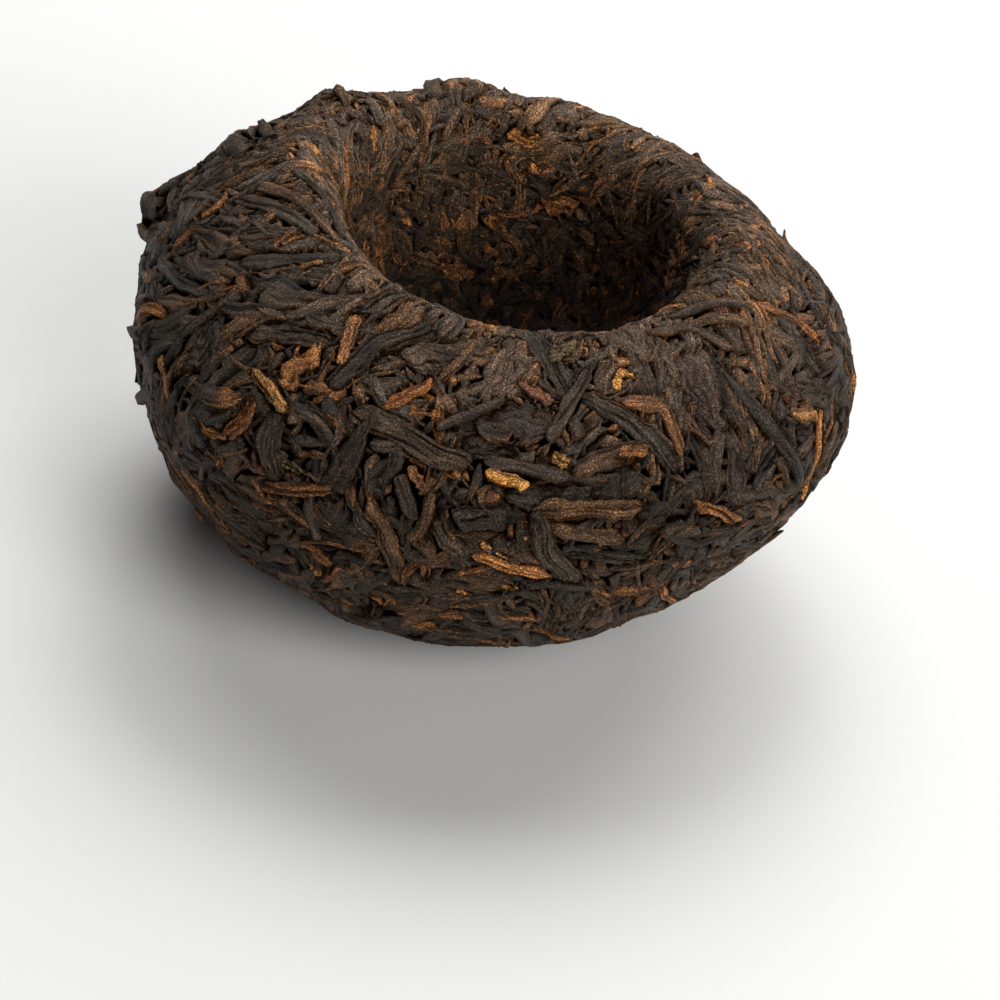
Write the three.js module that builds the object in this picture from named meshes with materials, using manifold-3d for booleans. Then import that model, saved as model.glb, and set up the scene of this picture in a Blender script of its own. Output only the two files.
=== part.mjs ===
// Pu erh tuocha: a nest-shaped cake of steamed and pressed tea leaves, lying on its
// dome with the hollow upwards. Millimetres, +Z up, origin on the resting plane.
import * as THREE from "three";
import { mergeVertices } from "three/addons/utils/BufferGeometryUtils.js";
import Module from "manifold-3d";

// Driving dimensions of the cake
const DIAMETER = 82;
const HEIGHT = 43; // to the rim's mean level
const HOLLOW_DIAMETER = 39.5; // at its throat
const HOLLOW_DEPTH = 26.5;
const LIP_WIDTH = 5; // from the rim's crest in to the throat
const BASE_DIAMETER = 27; // flat spot that the dome rests on
const LEAF_PROUD = 0.7; // how far the pressed leaves stand out of the core

// Core profile, as radii and heights of the points where its stretches meet
const EQUATOR_RADIUS = DIAMETER / 2 - LEAF_PROUD;
const EQUATOR_HEIGHT = HEIGHT * 0.69;
const CREST_RADIUS = HOLLOW_DIAMETER / 2 + LIP_WIDTH;
const CREST_HEIGHT = HEIGHT - LEAF_PROUD;
const THROAT_RADIUS = HOLLOW_DIAMETER / 2 + LEAF_PROUD;
const THROAT_HEIGHT = HEIGHT * 0.82;
const FLOOR_HEIGHT = HEIGHT - HOLLOW_DEPTH - LEAF_PROUD;

// How full each stretch's curve is: 0 is a straight line, 0.55 a quarter of an ellipse
const DOME_FULLNESS = 0.515;
const SHOULDER_FULLNESS = 0.22;
const LIP_FULLNESS = 0.55;
const BOWL_FULLNESS = 0.6;

// Unevenness of a cake that was pressed in a cloth bag
const BASE_SHIFT = new THREE.Vector2(-1.8, 0.6);
const HOLLOW_SHIFT = new THREE.Vector2(0.9, 2.8);
const OVAL = { share: 0.01, towards: THREE.MathUtils.degToRad(39) };
const RIM_TILT = { height: 0.9, towards: THREE.MathUtils.degToRad(187) };
const RIM_WAVE = { height: 0.55, towards: THREE.MathUtils.degToRad(-9) };
const CRAG_DEPTH = 0.45;

// Core facets
const CORE_SIDES = 40;
const CORE_STEP = 4.5; // along the profile
const WELD_DISTANCE = 1e-4;

// Leaves that show: strips with a raised middle, half sunk in the core
const LEAF_COUNT = 150;
const LEAF_LENGTH = { most: 18, least: 10 };
const LEAF_WIDTH = { most: 4.6, least: 2.8 };
const LEAF_THICKNESS = 2 * LEAF_PROUD + 0.5;
const LEAF_SINK = LEAF_THICKNESS / 2 - LEAF_PROUD; // middle of a leaf below the core's surface
const LEAF_SIDES = 4;
const LEAF_RINGS = 4;
const LEAF_BLUNTNESS = 0.55; // power of a leaf's taper: 1 is a spindle, 0 a strip
const LEAF_BEND = THREE.MathUtils.degToRad(3.2); // most turn for each millimetre of length
const LEAF_CLEAR_OF_POLES = 7; // from the middle of the base and of the hollow's floor
const WALK_STRIDES = 8; // steps that follow a leaf's middle line
const LOOK_AHEAD = 0.2; // distance that gives the middle line's direction

// Ways that the leaves lie: 0 runs up the profile, a quarter turn runs round the cake
const CREST_REACH = 12; // distance from the crest over which leaves stream across it
const WALL_WAY = { main: THREE.MathUtils.degToRad(90), sway: THREE.MathUtils.degToRad(90) };
const CREST_WAY = { main: THREE.MathUtils.degToRad(20), sway: THREE.MathUtils.degToRad(30) };

const GOLDEN_ANGLE = Math.PI * (3 - Math.sqrt(5));
const AREA_SAMPLES = 400;
const JOIN_TOLERANCE = 0.06; // shorter slivers where solids join are closed up
const SEED = 7;

// Seeded random numbers from 0 to 1
function randomSource(seed) {
  let state = seed >>> 0;
  return () => {
    state = (state + 0x6d2b79f5) >>> 0;
    let mixed = Math.imul(state ^ (state >>> 15), 1 | state);
    mixed = (mixed + Math.imul(mixed ^ (mixed >>> 7), 61 | mixed)) ^ mixed;
    return ((mixed ^ (mixed >>> 14)) >>> 0) / 2 ** 32;
  };
}

// Adds a quarter turn to a path, leaving along the first stretch's direction
function quarterTurn(path, end, fullness, leavesUpright) {
  const start = path.currentPoint.clone();
  const corner = leavesUpright
    ? new THREE.Vector2(start.x, end.y)
    : new THREE.Vector2(end.x, start.y);
  const first = start.clone().lerp(corner, fullness);
  const second = end.clone().lerp(corner, fullness);
  path.bezierCurveTo(first.x, first.y, second.x, second.y, end.x, end.y);
}

// Half section of the core, from the middle of the base round to the hollow's floor
function coreProfile() {
  const path = new THREE.Path();
  path.moveTo(0, 0);
  path.lineTo(BASE_DIAMETER / 2, 0);
  const equator = new THREE.Vector2(EQUATOR_RADIUS, EQUATOR_HEIGHT);
  const crest = new THREE.Vector2(CREST_RADIUS, CREST_HEIGHT);
  const throat = new THREE.Vector2(THROAT_RADIUS, THROAT_HEIGHT);
  const floor = new THREE.Vector2(0, FLOOR_HEIGHT);
  quarterTurn(path, equator, DOME_FULLNESS, false);
  quarterTurn(path, crest, SHOULDER_FULLNESS, true);
  quarterTurn(path, throat, LIP_FULLNESS, false);
  quarterTurn(path, floor, BOWL_FULLNESS, true);
  return path;
}

const profile = coreProfile();
const PROFILE_LENGTH = profile.getLength();
const [, , CREST_AT] = profile.getCurveLengths();

// Centre line's sideways shift at a place on the profile
function shiftAt(along, height) {
  if (along > CREST_AT) return HOLLOW_SHIFT;
  const share = height / EQUATOR_HEIGHT;
  if (share < 1) {
    return BASE_SHIFT.clone().multiplyScalar(1 - THREE.MathUtils.smoothstep(share, 0, 1));
  }
  const rise = THREE.MathUtils.smoothstep(height, EQUATOR_HEIGHT, CREST_HEIGHT);
  return HOLLOW_SHIFT.clone().multiplyScalar(rise);
}

// Point on the core at a distance along its profile and an angle round its axis
function surfacePoint(along, turn) {
  const { x: radius, y: height } = profile.getPoint(along / PROFILE_LENGTH);
  const oval = 1 + OVAL.share * Math.cos(2 * (turn - OVAL.towards));
  const rim =
    RIM_TILT.height * Math.cos(turn - RIM_TILT.towards) +
    RIM_WAVE.height * Math.cos(2 * (turn - RIM_WAVE.towards));
  const stillHeight = along > CREST_AT ? FLOOR_HEIGHT : EQUATOR_HEIGHT;
  const rimShare = THREE.MathUtils.smoothstep(height, stillHeight, CREST_HEIGHT);
  const shift = shiftAt(along, height);
  return new THREE.Vector3(
    radius * oval * Math.cos(turn) + shift.x,
    radius * oval * Math.sin(turn) + shift.y,
    height + rim * rimShare,
  );
}

// Outward direction of the core there
function surfaceNormal(along, turn) {
  const slope = profile.getTangent(along / PROFILE_LENGTH);
  return new THREE.Vector3(slope.y * Math.cos(turn), slope.y * Math.sin(turn), -slope.x);
}

// Closed geometry with only its shared vertices left
function weld(geometry) {
  geometry.deleteAttribute("normal");
  geometry.deleteAttribute("uv");
  return mergeVertices(geometry, WELD_DISTANCE);
}

// Core: the profile turned round, made uneven and given crags clear of the flat spot
function coreGeometry(random) {
  const steps = Math.round(PROFILE_LENGTH / CORE_STEP);
  const places = Array.from({ length: steps + 1 }, (_, i) => (i / steps) * PROFILE_LENGTH);
  const outline = places.map((along) => profile.getPoint(along / PROFILE_LENGTH));
  const crags = Array.from({ length: CORE_SIDES * places.length }, () => 2 * random() - 1);
  const geometry = new THREE.LatheGeometry(outline, CORE_SIDES);
  const position = geometry.getAttribute("position");
  for (let i = 0; i < position.count; i++) {
    const row = i % places.length;
    const side = Math.floor(i / places.length) % CORE_SIDES;
    const turn = (side / CORE_SIDES) * 2 * Math.PI;
    const point = surfacePoint(places[row], turn);
    const cragged = row < steps && point.z > CRAG_DEPTH;
    const crag = cragged ? CRAG_DEPTH * crags[side * places.length + row] : 0;
    point.addScaledVector(surfaceNormal(places[row], turn), crag);
    position.setXYZ(i, point.x, point.y, point.z);
  }
  return weld(geometry);
}

// Place on the core at a distance from a leaf's middle, along its bending middle line
function walkFrom(along, turn, heading, bend, distance) {
  const stride = distance / WALK_STRIDES;
  let [at, round, way] = [along, turn, heading];
  for (let i = 0; i < WALK_STRIDES; i++) {
    const radius = Math.max(profile.getPoint(at / PROFILE_LENGTH).x, 1);
    at = THREE.MathUtils.clamp(at + stride * Math.cos(way), 0, PROFILE_LENGTH);
    round += (stride * Math.sin(way)) / radius;
    way += bend * stride;
  }
  return { along: at, turn: round };
}

// Leaf: a flattened blunt spindle, wrapped over the core
function leafGeometry(leaf) {
  const geometry = weld(new THREE.SphereGeometry(1, LEAF_SIDES, LEAF_RINGS));
  const position = geometry.getAttribute("position");
  const spot = new THREE.Vector3();
  for (let i = 0; i < position.count; i++) {
    spot.fromBufferAttribute(position, i);
    const ring = Math.asin(THREE.MathUtils.clamp(spot.y, -1, 1)) / (Math.PI / 2);
    const girth = Math.hypot(spot.x, spot.z);
    const swell = girth > WELD_DISTANCE ? girth ** (LEAF_BLUNTNESS - 1) : 0;
    const here = (ring * leaf.length) / 2;
    const place = walkFrom(leaf.along, leaf.turn, leaf.heading, leaf.bend, here);
    const next = walkFrom(leaf.along, leaf.turn, leaf.heading, leaf.bend, here + LOOK_AHEAD);
    const point = surfacePoint(place.along, place.turn);
    const forward = surfacePoint(next.along, next.turn).sub(point).normalize();
    const up = surfaceNormal(place.along, place.turn);
    const aside = forward.clone().cross(up).normalize();
    point.addScaledVector(aside, (spot.x * swell * leaf.width) / 2);
    point.addScaledVector(up, (spot.z * swell * LEAF_THICKNESS) / 2 - LEAF_SINK);
    position.setXYZ(i, point.x, point.y, point.z);
  }
  return geometry;
}

// Distances along the profile that share the core's area evenly
function evenPlaces(count) {
  const areas = [0];
  for (let i = 1; i <= AREA_SAMPLES; i++) {
    areas.push(areas[i - 1] + profile.getPoint((i - 0.5) / AREA_SAMPLES).x);
  }
  const total = areas[AREA_SAMPLES];
  return Array.from({ length: count }, (_, k) => {
    const wanted = ((k + 0.5) / count) * total;
    const i = areas.findIndex((area) => area >= wanted);
    return (i / AREA_SAMPLES) * PROFILE_LENGTH;
  });
}

// Every leaf that shows: spread by the golden angle, streaming over the crest, loose elsewhere
function leafPlan(random) {
  const { lerp } = THREE.MathUtils;
  const spread = () => 2 * random() - 1;
  const farEnd = PROFILE_LENGTH - LEAF_CLEAR_OF_POLES;
  const places = evenPlaces(LEAF_COUNT).filter((at) => at > LEAF_CLEAR_OF_POLES && at < farEnd);
  return places.map((along, k) => {
    const overCrest = Math.exp(-(((along - CREST_AT) / CREST_REACH) ** 2));
    const main = lerp(WALL_WAY.main, CREST_WAY.main, overCrest);
    const sway = lerp(WALL_WAY.sway, CREST_WAY.sway, overCrest);
    return {
      along,
      turn: k * GOLDEN_ANGLE,
      heading: main + sway * spread(),
      bend: LEAF_BEND * spread(),
      length: lerp(LEAF_LENGTH.least, LEAF_LENGTH.most, random()),
      width: lerp(LEAF_WIDTH.least, LEAF_WIDTH.most, random()),
    };
  });
}

const wasm = await Module();
wasm.setup();

// A closed geometry as a solid that can be joined and cut
function solidOf(geometry) {
  const triVerts = [];
  const index = geometry.index.array;
  for (let i = 0; i < index.length; i += 3) {
    const [a, b, c] = index.slice(i, i + 3);
    if (a !== b && b !== c && c !== a) triVerts.push(a, b, c);
  }
  return new wasm.Manifold(
    new wasm.Mesh({
      numProp: 3,
      vertProperties: new Float32Array(geometry.getAttribute("position").array),
      triVerts: new Uint32Array(triVerts),
    }),
  );
}

// A solid's vertices and triangles as a geometry
function geometryOf(solid) {
  const { vertProperties, triVerts } = solid.getMesh();
  const geometry = new THREE.BufferGeometry();
  geometry.setAttribute("position", new THREE.BufferAttribute(vertProperties, 3));
  geometry.setIndex(new THREE.BufferAttribute(triVerts, 1));
  geometry.computeVertexNormals();
  return geometry;
}

// Space under the resting plane, which cuts off what the leaves reach below it
function groundSolid() {
  const depth = 4 * LEAF_THICKNESS;
  const ground = new THREE.BoxGeometry(2 * DIAMETER, 2 * DIAMETER, depth);
  ground.translate(0, 0, -depth / 2);
  return solidOf(weld(ground));
}

// The whole cake as one solid, with sealed gaps filled and loose scraps dropped
function cakeGeometry() {
  const random = randomSource(SEED);
  let cake = solidOf(coreGeometry(random));
  for (const leaf of leafPlan(random)) cake = cake.add(solidOf(leafGeometry(leaf)));
  const bodies = cake.subtract(groundSolid()).simplify(JOIN_TOLERANCE).decompose();
  const whole = bodies.reduce((a, b) => (a.volume() > b.volume() ? a : b));
  return geometryOf(whole);
}

const tea = new THREE.MeshStandardMaterial({
  name: "pressed_tea",
  color: 0x3a2d23,
  roughness: 0.8,
  metalness: 0,
});
const tuocha = new THREE.Mesh(cakeGeometry(), tea);
tuocha.name = "tuocha";

// The cake's box stands centred on the origin
tuocha.geometry.computeBoundingBox();
const middle = tuocha.geometry.boundingBox.getCenter(new THREE.Vector3());
tuocha.position.set(-middle.x, -middle.y, 0);

const part = new THREE.Group();
part.add(tuocha);

export default part;
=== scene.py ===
"""Pu erh tuocha: a nest of pressed tea leaves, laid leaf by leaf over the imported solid's form."""

import math
from types import SimpleNamespace

import bpy
import numpy as np
from mathutils import Matrix, Vector


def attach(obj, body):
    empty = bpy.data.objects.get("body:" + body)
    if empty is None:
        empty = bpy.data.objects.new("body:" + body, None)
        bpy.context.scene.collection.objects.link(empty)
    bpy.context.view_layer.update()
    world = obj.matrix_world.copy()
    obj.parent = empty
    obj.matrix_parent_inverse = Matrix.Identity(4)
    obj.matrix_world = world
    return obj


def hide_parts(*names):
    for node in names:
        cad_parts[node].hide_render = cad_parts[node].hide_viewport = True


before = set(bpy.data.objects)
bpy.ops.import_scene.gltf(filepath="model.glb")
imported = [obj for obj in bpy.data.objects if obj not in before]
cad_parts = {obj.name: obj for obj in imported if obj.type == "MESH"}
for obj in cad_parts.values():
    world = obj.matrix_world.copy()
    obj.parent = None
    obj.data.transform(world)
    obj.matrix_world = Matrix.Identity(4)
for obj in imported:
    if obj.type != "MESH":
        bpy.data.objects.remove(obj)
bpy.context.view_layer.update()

MM = 0.001
SEED = 11

# Cake's form in millimetres, the same as the solid's
DIAMETER = 82.0
HEIGHT = 43.0
HOLLOW_DIAMETER = 39.5
HOLLOW_DEPTH = 26.5
LIP_WIDTH = 5.0
BASE_DIAMETER = 27.0
EQUATOR = (DIAMETER / 2, HEIGHT * 0.69)
CREST = (HOLLOW_DIAMETER / 2 + LIP_WIDTH, HEIGHT)
THROAT = (HOLLOW_DIAMETER / 2, HEIGHT * 0.82)
FLOOR = (0.0, HEIGHT - HOLLOW_DEPTH)
DOME_FULLNESS = 0.515
SHOULDER_FULLNESS = 0.22
LIP_FULLNESS = 0.55
BOWL_FULLNESS = 0.6
BASE_SHIFT = (-1.8, 0.6)
HOLLOW_SHIFT = (0.9, 2.8)
OVAL = (0.01, math.radians(39))
RIM_TILT = (0.9, math.radians(187))
RIM_WAVE = (0.55, math.radians(-9))

# Dents and bumps: distance along the profile, degrees round the cake, reach each way and height
DENTS = {
    "near lip": (80.0, -97, 9.0, 24.0, -1.6),
    "flat left side": (58.0, 180, 9.0, 9.0, -1.5),
    "left side below it": (50.0, -165, 8.0, 9.0, -0.9),
    "peak of the far rim": (76.5, 106, 5.0, 4.0, 1.1),
    "dip beside it": (75.5, 121, 5.0, 5.0, -1.1),
    "right shoulder": (71.6, 28, 8.0, 8.0, -0.7),
    "full front underside": (33.0, -83, 9.0, 22.0, 1.0),
    "knob at the left": (59.0, 165, 4.0, 3.5, 1.8),
    "knob at the upper left": (68.5, 159, 3.0, 3.0, 1.0),
    "step behind it": (71.0, 150, 2.5, 2.5, -0.9),
    "knob on the far left rim": (75.2, 141, 3.0, 2.5, 0.9),
}

# Leaf layer
UNDER_LEVEL = 0.7  # height above the inner core that the pile of leaves starts at
CORE_DEPTH = 1.15  # inner core below the cake's mean surface
PRESS_LEVEL = 1.5  # height above the inner core where the press flattened what stands higher
PRESS_SHARE = 0.2  # share of the height above that level which is left
SURFACE_REST = 0.9  # least height above the inner core that a leaf of the surface lies at
SCRAP_REST = 0.85  # the same for a broken bit
NOTED_REST = 1.18  # the same for a leaf that stands out in the photograph
NOTED_PAINTED_SHEEN = 0.35  # share of the painted sheen that those leaves get over their noted colour
NOTED_DEPTH = 0.25  # other leaves that meet one of those pass this far under its top
SEEN_DEPTH = 0.15  # a leaf's points lower than this under the pile's top are hidden
SEEN_SHARE = 0.16  # of its points that a leaf must show to be kept
CREST_PAINTED_SHEEN = 1.8  # how much paler the leaves of the crest are: painted sheen, with a dusty tint
OWN_SHARE = 0.6  # of that painted sheen, the share which has the leaf's own colour, and isn't the dusty tint
CREST_REACH = 11.0  # from the crest to where the painted sheen and the leaves' streaming over it fade
WALL_REACH = 17.0  # as far down the hollow's wall as the painted sheen reaches
FLOOR_SHADE = 0.42  # painted shade: how much darker the leaves are on the hollow's floor
CHIP_SHARE = 0.55  # of the length that leaves have elsewhere, for the chips on the hollow's wall
CELL = 0.3  # of the map of heights that the leaves pile up on
POLE_REACH = 14.0  # nearer to the middle of the base or of the hollow's floor, places are polar
LUMP_HEIGHT = 0.2  # of the cake's lumps
LUMP_LENGTHS = (7.0, 16.0)  # from one lump to the next
LUMP_START = 6.0  # above the floor, where the lumps have their whole height
TIP_STUB = 0.02  # share of a leaf's length that is missing at each end
BED_SHARE = 0.65  # of what lies under a leaf, the share that is lower than the leaf rests
CREASE_SHADE = 0.85  # painted shade: how much darker a fold is at its bottom
UNDER_LIGHT = 0.3  # painted shade: share of a leaf's colour that its underside has
UNDER_COLUMNS = [-3, 2]  # columns of a leaf's top that the two of its underside lie below
FAR_CREVICE = (-0.7, -0.05, 0.1)  # painted crevice shade: darkest and lit height from the mean around, and the least light
NEAR_CREVICE = (-0.28, 0.0, 0.3)  # the same close by

# Leaf's skin
FIBRE_SCALE = 2.4  # of the noise drawn out into fibres, on the leaf's own map
FIBRE_STRETCH = 7.0  # how much longer than wide the fibres are
FIBRE_BUMP = 1.2 * MM
FIBRE_RANGE = (0.36, 0.64)  # of the noise, from dark to pale fibres
FIBRE_LIGHT = (0.3, 1.9)  # how much those change the leaf's colour
SPECK_SCALE = 5200.0  # specks in a metre
SPECK_BUMP = 0.4 * MM
SPECK_RANGE = (0.46, 0.67)
SPECK_LIGHT = (0.7, 2.8)
DULL_RANGE = 0.15  # how much the specks change the roughness each way
SHEEN = 0.25  # specular level, which crevices lack

# Photograph's view: 1000 by 1000 pixels
FRAME_PIXELS = 1000
VIEW_ANGLE = math.radians(18.92)
VIEW_ELEVATION = math.radians(35.66)
CAKE_LEAN = math.radians(9.78)  # the cake leans to the right in the photograph
PIXELS_PER_MM = 8.759
AIM_HEIGHT = 21.5
AIM_PIXEL = (450.9, 371.9)

random = np.random.default_rng(SEED)


def smoothstep(value, low, high):
    """Smooth rise from 0 at low to 1 at high."""
    share = np.clip((value - low) / (high - low), 0, 1)
    return share * share * (3 - 2 * share)


def run_lengths(points):
    """Distance along a line of points, at each of them."""
    steps = np.linalg.norm(np.diff(points, axis=0), axis=1)
    return np.concatenate([[0], np.cumsum(steps)])


def half_turns(angle):
    """The same angle between half a turn back and half a turn on."""
    return (angle + math.pi) % (2 * math.pi) - math.pi


def quarter_turn(start, end, fullness, leaves_upright, samples=160):
    """Points of a quarter turn between two places of the half section."""
    start, end = np.array(start), np.array(end)
    corner = np.array([start[0], end[1]] if leaves_upright else [end[0], start[1]])
    first = start + (corner - start) * fullness
    second = end + (corner - end) * fullness
    far = np.linspace(0, 1, samples)[1:, None]
    near = 1 - far
    return near**3 * start + 3 * near**2 * far * first + 3 * near * far**2 * second + far**3 * end


class Profile:
    """Half section of the cake by the distance along it, from the base's middle to the hollow's floor."""

    def __init__(self):
        edge = (BASE_DIAMETER / 2, 0.0)
        outside = [
            np.array([(0.0, 0.0), edge]),
            quarter_turn(edge, EQUATOR, DOME_FULLNESS, False),
            quarter_turn(EQUATOR, CREST, SHOULDER_FULLNESS, True),
        ]
        inside = [
            quarter_turn(CREST, THROAT, LIP_FULLNESS, False),
            quarter_turn(THROAT, FLOOR, BOWL_FULLNESS, True),
        ]
        points = np.concatenate(outside + inside)
        self.along = run_lengths(points)
        self.radii, self.heights = points.T
        slope = np.gradient(points, self.along, axis=0)
        slope /= np.linalg.norm(slope, axis=1)[:, None]
        self.outs, self.ups = slope[:, 1], -slope[:, 0]
        self.length = self.along[-1]
        self.crest_at = self.along[sum(len(stretch) for stretch in outside) - 1]

    def radius(self, along):
        return np.interp(along, self.along, self.radii)

    def height(self, along):
        return np.interp(along, self.along, self.heights)

    def normal(self, along):
        return np.interp(along, self.along, self.outs), np.interp(along, self.along, self.ups)


profile = Profile()


def lump_waves(count=14):
    """Directions, lengths and phases of the waves that add up to the cake's lumps."""
    ways = random.normal(0, 1, (count, 3))
    ways /= np.linalg.norm(ways, axis=1)[:, None]
    lengths = random.uniform(*LUMP_LENGTHS, (count, 1))
    return ways * 2 * math.pi / lengths, random.uniform(0, 2 * math.pi, count)


LUMP_WAYS, LUMP_PHASES = lump_waves()


def dent_heights(along, turn):
    """Height that the cake's dents and bumps add at some places."""
    heights = np.zeros(np.broadcast(along, turn).shape)
    for at, degrees, reach_up, reach_round, height in DENTS.values():
        aside = half_turns(turn - math.radians(degrees))
        apart = ((along - at) / reach_up) ** 2 + (aside * profile.radius(at) / reach_round) ** 2
        heights += height * np.exp(-apart)
    return heights


def on_cake(along, turn, lift):
    """Points in millimetres at a lift above the cake's mean surface, made uneven as the cake is."""
    radius, height = profile.radius(along), profile.height(along)
    out, up = profile.normal(along)
    inside = along > profile.crest_at
    low = np.where(inside, 0, 1 - smoothstep(height, 0, EQUATOR[1]))
    high = np.where(inside, 1, smoothstep(height, EQUATOR[1], CREST[1]))
    rim_share = np.where(inside, smoothstep(height, FLOOR[1], CREST[1]), high)
    rim = RIM_TILT[0] * np.cos(turn - RIM_TILT[1]) + RIM_WAVE[0] * np.cos(2 * (turn - RIM_WAVE[1]))
    oval = 1 + OVAL[0] * np.cos(2 * (turn - OVAL[1]))
    spots = np.stack([radius * np.cos(turn), radius * np.sin(turn), height], axis=-1)
    lumps = np.sin(spots @ LUMP_WAYS.T + LUMP_PHASES).sum(-1) / math.sqrt(len(LUMP_PHASES) / 2)
    lift = lift + LUMP_HEIGHT * lumps * smoothstep(height, 0, LUMP_START) + dent_heights(along, turn)
    reach = radius * oval + lift * out
    x = reach * np.cos(turn) + low * BASE_SHIFT[0] + high * HOLLOW_SHIFT[0]
    y = reach * np.sin(turn) + low * BASE_SHIFT[1] + high * HOLLOW_SHIFT[1]
    z = height + rim * rim_share + lift * up
    return np.stack([x, y, np.maximum(z, 0)], axis=-1)


# Camera
def camera_axes():
    """Camera's place in millimetres and its right, up and forward directions."""
    sin, cos = math.sin(VIEW_ELEVATION), math.cos(VIEW_ELEVATION)
    right, up, forward = np.array([1, 0, 0]), np.array([0, sin, cos]), np.array([0, cos, -sin])
    distance = focal_pixels() / PIXELS_PER_MM
    aside = (AIM_PIXEL[0] - FRAME_PIXELS / 2) / PIXELS_PER_MM
    above = (FRAME_PIXELS / 2 - AIM_PIXEL[1]) / PIXELS_PER_MM
    place = np.array([0, 0, AIM_HEIGHT]) - forward * distance - right * aside - up * above
    lean_sin, lean_cos = math.sin(CAKE_LEAN), math.cos(CAKE_LEAN)
    level = np.array([[lean_cos, 0, -lean_sin], [0, 1, 0], [lean_sin, 0, lean_cos]])
    return level @ place, level @ right, level @ up, level @ forward


def focal_pixels():
    return FRAME_PIXELS / 2 / math.tan(VIEW_ANGLE / 2)


def make_camera():
    place, right, up, forward = camera_axes()
    data = bpy.data.cameras.new("camera")
    data.sensor_fit = "HORIZONTAL"
    data.angle = VIEW_ANGLE
    data.clip_start = 0.01
    camera = bpy.data.objects.new("camera", data)
    axes = np.column_stack([right, up, -forward])
    camera.matrix_world = Matrix.Translation(Vector(place * MM)) @ Matrix(axes.tolist()).to_4x4()
    bpy.context.scene.collection.objects.link(camera)
    bpy.context.scene.camera = camera


class PixelFinder:
    """Finds the place on the cake that a pixel of the photograph shows."""

    STEP = 0.4
    TURNS = 640
    NEAR_PIXELS = 4.0
    FRONT_DEPTH = 3.0

    def __init__(self):
        steps = np.arange(0, profile.length, self.STEP)
        turns = np.linspace(-math.pi, math.pi, self.TURNS, endpoint=False)
        self.along, self.turn = (grid.ravel() for grid in np.meshgrid(steps, turns, indexing="ij"))
        place, right, up, forward = camera_axes()
        seen = on_cake(self.along, self.turn, np.zeros_like(self.along)) - place
        self.depth = seen @ forward
        self.column = FRAME_PIXELS / 2 + focal_pixels() * (seen @ right) / self.depth
        self.row = FRAME_PIXELS / 2 - focal_pixels() * (seen @ up) / self.depth

    def place(self, pixel):
        gap = np.hypot(self.column - pixel[0], self.row - pixel[1])
        near = np.flatnonzero(gap < max(self.NEAR_PIXELS, gap.min() + 1))
        front = near[self.depth[near] < self.depth[near].min() + self.FRONT_DEPTH]
        best = front[np.argmin(gap[front])]
        return self.along[best], self.turn[best]


# Pile of leaves
class Pile:
    """Map of how high the leaves already lie above the inner core."""

    def __init__(self):
        self.rows = int(profile.length / CELL) + 1
        self.columns = int(math.pi * DIAMETER / CELL)
        self.heights = np.full((self.rows, self.columns), UNDER_LEVEL)
        self.noted = np.zeros((self.rows, self.columns))

    def cells(self, along, turn):
        row = np.clip((along / CELL).astype(int), 0, self.rows - 1)
        column = np.floor(turn / (2 * math.pi) * self.columns).astype(int) % self.columns
        return row, column

    def ceiling(self, along, turn):
        """Height under the leaves that stand out in the photograph, which lie on top of the others."""
        noted = self.noted[self.cells(along, turn)]
        return np.where(noted > 0, noted - NOTED_DEPTH, np.inf)

    def add(self, along, turn, tops):
        """Raises the map to a leaf's top, given at the points of its grid."""
        lengthwise, crosswise = [spread(count, times * count) for count, times in zip(tops.shape, (3, 2))]
        along, turn, tops = [lengthwise @ grid @ crosswise.T for grid in (along, turn, tops)]
        np.maximum.at(self.heights, self.cells(along, turn), tops)

    def rebuild(self, kinds):
        """Makes the map anew from the leaves that are kept."""
        self.heights[:] = UNDER_LEVEL
        for kind in kinds:
            for leaf in kind.leaves:
                self.add(*leaf.tops)

    def set_noted(self, before):
        """Marks what was laid since some heights were kept, and lets the rest pile up from those."""
        self.noted = np.where(self.heights > before, self.heights, 0)
        self.heights = before

    def tops(self):
        return np.maximum(self.heights, self.noted)

    def mean_level(self, reach, passes=2):
        """Heights averaged over the cells around each one."""
        level = self.tops()
        for _ in range(passes):
            tall = np.pad(level, ((reach, reach), (0, 0)), mode="edge")
            level = sum(tall[i : i + self.rows] for i in range(2 * reach + 1)) / (2 * reach + 1)
            level = sum(np.roll(level, i, axis=1) for i in range(-reach, reach + 1)) / (2 * reach + 1)
        return level


def spread(count, wanted):
    """Matrix that spreads rows of values evenly over more rows."""
    places = np.linspace(0, count - 1, wanted)
    low = np.minimum(places.astype(int), count - 2)
    matrix = np.zeros((wanted, count))
    matrix[np.arange(wanted), low] = 1 - places + low
    matrix[np.arange(wanted), low + 1] = places - low
    return matrix


def chart_places(along, turn, up_profile, round_cake):
    """Places on the cake from distances up its profile and round it, about one place."""
    to_base, to_floor = along, profile.length - along
    if min(to_base, to_floor) > POLE_REACH:
        at = np.clip(along + up_profile, 0, profile.length)
        return at, turn + round_cake / np.maximum(profile.radius(at), 3)
    outward = 1 if to_base < to_floor else -1
    reach = min(to_base, to_floor) + outward * up_profile
    distance = np.hypot(reach, round_cake)
    at = distance if outward > 0 else profile.length - distance
    return np.clip(at, 0, profile.length), turn + np.arctan2(round_cake, reach)


def crowded(stations):
    """Places from 0 to 1 along a leaf, closer together at its ends."""
    even = np.linspace(0, 1, stations)
    return 0.55 * even + 0.45 * (0.5 - 0.5 * np.cos(np.pi * even))


def bent_path(length, heading, bend, stations):
    """A leaf's middle line in the chart, as distances up the profile and round the cake."""
    distance = length * (crowded(stations) - 0.5)
    way = heading + bend * distance + wavy(stations, 0.25)
    step = np.diff(distance)
    mid = (way[1:] + way[:-1]) / 2
    path = np.zeros((stations, 2))
    path[1:, 0] = np.cumsum(step * np.cos(mid))
    path[1:, 1] = np.cumsum(step * np.sin(mid))
    return path - path[stations // 2]


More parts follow.
